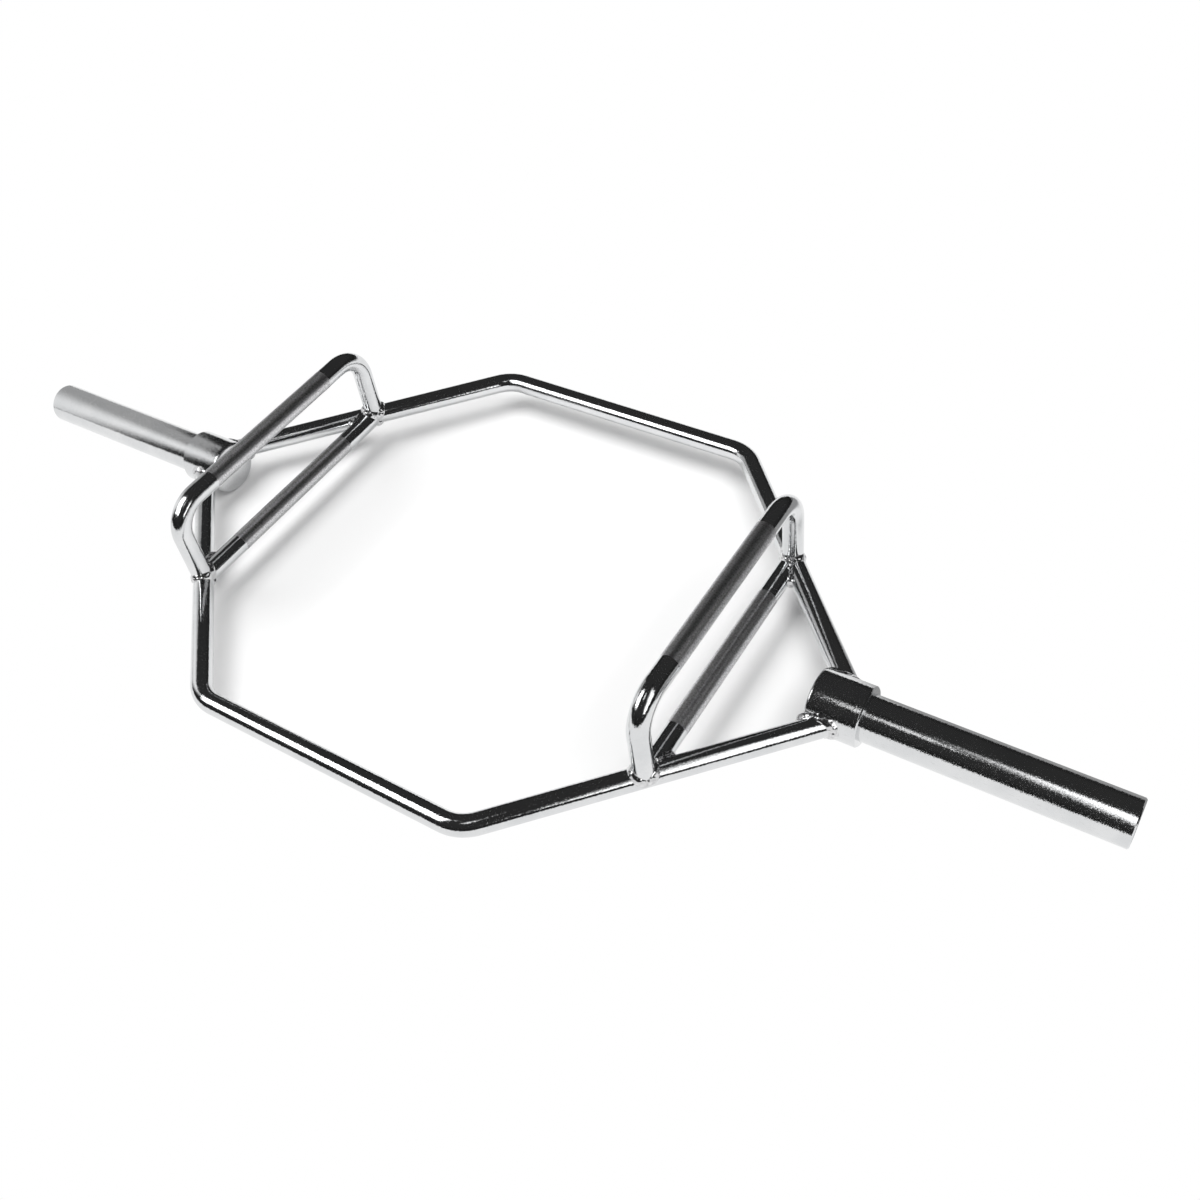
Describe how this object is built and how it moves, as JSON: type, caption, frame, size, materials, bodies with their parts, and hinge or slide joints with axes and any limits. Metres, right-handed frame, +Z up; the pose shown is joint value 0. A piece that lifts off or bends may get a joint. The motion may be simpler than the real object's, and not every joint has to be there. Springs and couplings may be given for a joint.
{
  "type": "hex trap bar",
  "caption": "Hexagonal chrome lifting bar with raised and level knurled handles on each side, a bent round-bar frame, and plain round sleeves behind collars for weight plates",
  "frame": {"origin": "on the floor under the middle of the frame, where the two collars rest at z = 0", "axes": "+X along the sleeves to the right, +Y to the rear, +Z up to the high handles"},
  "size_m": [1.444, 0.618, 0.1472],
  "materials": {
    "bright_chrome": "bright chrome plate on steel with a fine grain",
    "handle_chrome": "chrome plate, diamond knurled over the grip, bright beside it",
    "weld_chrome": "chrome plate over rippled weld beads"
  },
  "bodies": {
    "root": {"front_frame_bar": "bright_chrome", "rear_frame_bar": "bright_chrome", "right_sleeve": "bright_chrome", "right_sleeve_end_plug": "bright_chrome", "right_collar": "bright_chrome", "right_collar_end_plate": "bright_chrome", "right_high_handle": "handle_chrome", "right_low_handle": "handle_chrome", "left_sleeve": "bright_chrome", "left_sleeve_end_plug": "bright_chrome", "left_collar": "bright_chrome", "left_collar_end_plate": "bright_chrome", "left_high_handle": "handle_chrome", "left_low_handle": "handle_chrome", "right_front_collar_weld": "weld_chrome", "right_rear_collar_weld": "weld_chrome", "left_front_collar_weld": "weld_chrome", "left_rear_collar_weld": "weld_chrome", "right_front_high_handle_foot_weld": "weld_chrome", "right_rear_high_handle_foot_weld": "weld_chrome", "left_front_high_handle_foot_weld": "weld_chrome", "left_rear_high_handle_foot_weld": "weld_chrome", "right_front_low_handle_weld": "weld_chrome", "right_rear_low_handle_weld": "weld_chrome", "left_front_low_handle_weld": "weld_chrome", "left_rear_low_handle_weld": "weld_chrome"}
  },
  "joints": []
}
